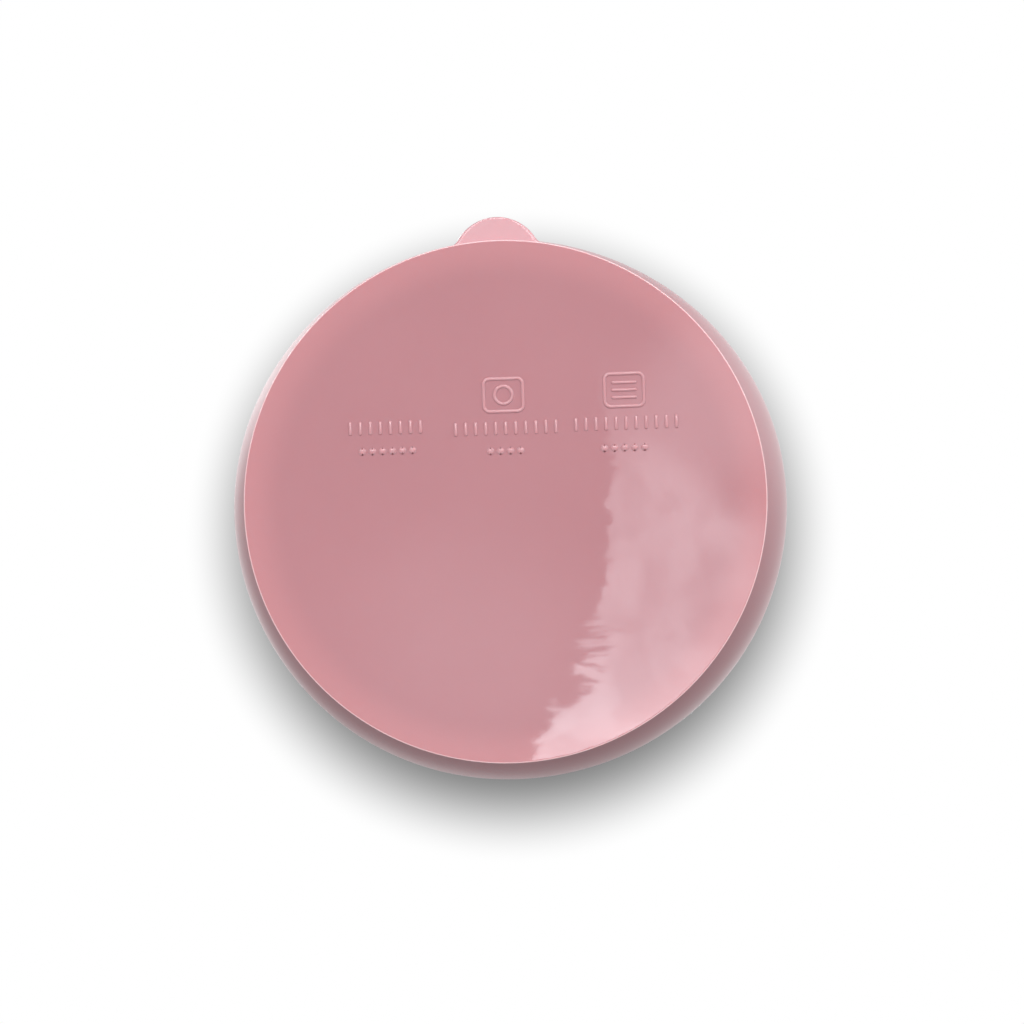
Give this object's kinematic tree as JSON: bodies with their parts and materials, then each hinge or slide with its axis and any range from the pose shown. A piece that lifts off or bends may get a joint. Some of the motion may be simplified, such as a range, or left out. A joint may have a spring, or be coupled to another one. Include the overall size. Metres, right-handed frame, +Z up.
{
  "type": "suction bowl",
  "caption": "Round soft silicone baby bowl bonded to a thin dished suction disc, with a half-round pull tab that breaks the seal.",
  "frame": {"origin": "middle of the suction disc's sealing face, on the table", "axes": "+Z up through the bowl's open mouth, -Y towards the pull tab"},
  "size_m": [0.124, 0.124, 0.056],
  "materials": {
    "bowl_silicone": "matte dusty pink silicone",
    "base_silicone": "glossy dusty pink silicone"
  },
  "bodies": {
    "seal": {"sealing_lip": "base_silicone", "suction_membrane": "base_silicone", "tab_root": "base_silicone", "care_marks": "base_silicone"},
    "bowl": {"bowl_body": "bowl_silicone", "base_neck": "bowl_silicone"},
    "tab": {"pull_tab": "base_silicone"}
  },
  "joints": [
    {"name": "suction_press", "type": "slide", "parent": "seal", "child": "bowl", "axis": [0, 0, 1], "range_m": [-0.0014, 0.0015], "stiffness_N_per_m": 4000, "deforming": ["suction_membrane", "care_marks"]},
    {"name": "tab_lift", "type": "hinge", "parent": "seal", "child": "tab", "pos_m": [0, -0.0564, 0.0022], "axis": [-1, 0, 0], "range_deg": [0, 70], "stiffness_Nm_per_rad": 0.002}
  ]
}
